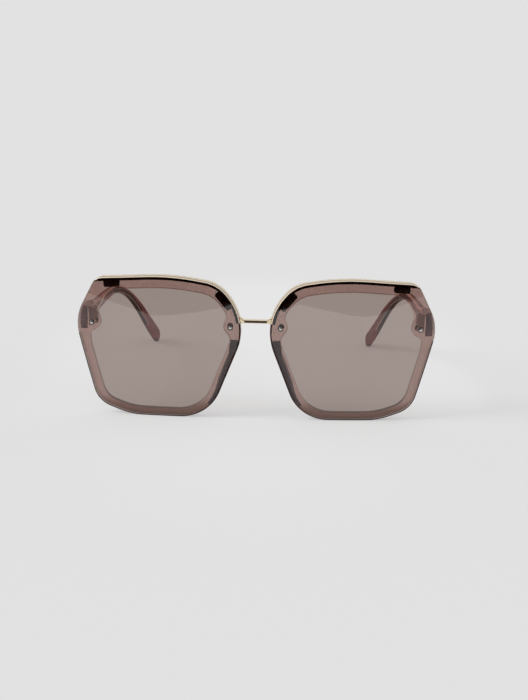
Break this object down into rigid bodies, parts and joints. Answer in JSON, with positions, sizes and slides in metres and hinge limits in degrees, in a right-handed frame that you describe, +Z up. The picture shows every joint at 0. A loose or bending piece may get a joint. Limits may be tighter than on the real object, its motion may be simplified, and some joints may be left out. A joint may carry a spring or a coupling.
{
  "type": "sunglasses",
  "caption": "Sunglasses with large tinted lenses over translucent backing rims, gold brow bars and a straight bridge, and folding temples on barrel hinges.",
  "frame": {"origin": "on the table below the middle of the whole object", "axes": "+X to the right as seen from in front, the lenses face -Y, the open temples run towards +Y, +Z up"},
  "size_m": [0.1456, 0.1338, 0.0584],
  "materials": {
    "lens_tint": "polished warm grey-brown tint",
    "mauve_plastic": "polished translucent mauve-brown",
    "pad_plastic": "polished translucent dark mauve",
    "gold_metal": "polished pale gold plating",
    "rivet_steel": "polished",
    "core_steel": "drawn wire"
  },
  "bodies": {
    "front": {"lens_left": "lens_tint", "lens_right": "lens_tint", "rim_left": "mauve_plastic", "rim_right": "mauve_plastic", "brow_bar_left": "gold_metal", "brow_bar_right": "gold_metal", "bridge_bar": "gold_metal", "lug_outer_left": "gold_metal", "lug_outer_right": "gold_metal", "lug_inner_left": "gold_metal", "lug_inner_right": "gold_metal", "lug_screws_left": "rivet_steel", "lug_screws_right": "rivet_steel", "lens_rivets_left": "rivet_steel", "lens_rivets_right": "rivet_steel", "rivet_caps_left": "rivet_steel", "rivet_caps_right": "rivet_steel", "nose_pad_left": "pad_plastic", "nose_pad_right": "pad_plastic", "hinge_leaf_front_left": "gold_metal", "hinge_leaf_front_right": "gold_metal", "hinge_rivets_front_left": "rivet_steel", "hinge_rivets_front_right": "rivet_steel", "hinge_screw_left": "rivet_steel", "hinge_screw_right": "rivet_steel"},
    "temple_arm_left": {"temple_left": "mauve_plastic", "temple_core_left": "core_steel", "hinge_leaf_temple_left": "gold_metal", "hinge_rivets_temple_left": "rivet_steel"},
    "temple_arm_right": {"temple_right": "mauve_plastic", "temple_core_right": "core_steel", "hinge_leaf_temple_right": "gold_metal", "hinge_rivets_temple_right": "rivet_steel"}
  },
  "joints": [
    {"name": "fold_left", "type": "hinge", "parent": "front", "child": "temple_arm_left", "pos_m": [-0.06722, -0.05009, 0.03942], "axis": [0, 0, -1], "range_deg": [0, 83]},
    {"name": "fold_right", "type": "hinge", "parent": "front", "child": "temple_arm_right", "pos_m": [0.06722, -0.05009, 0.03942], "axis": [0, 0, 1], "range_deg": [0, 88]}
  ]
}
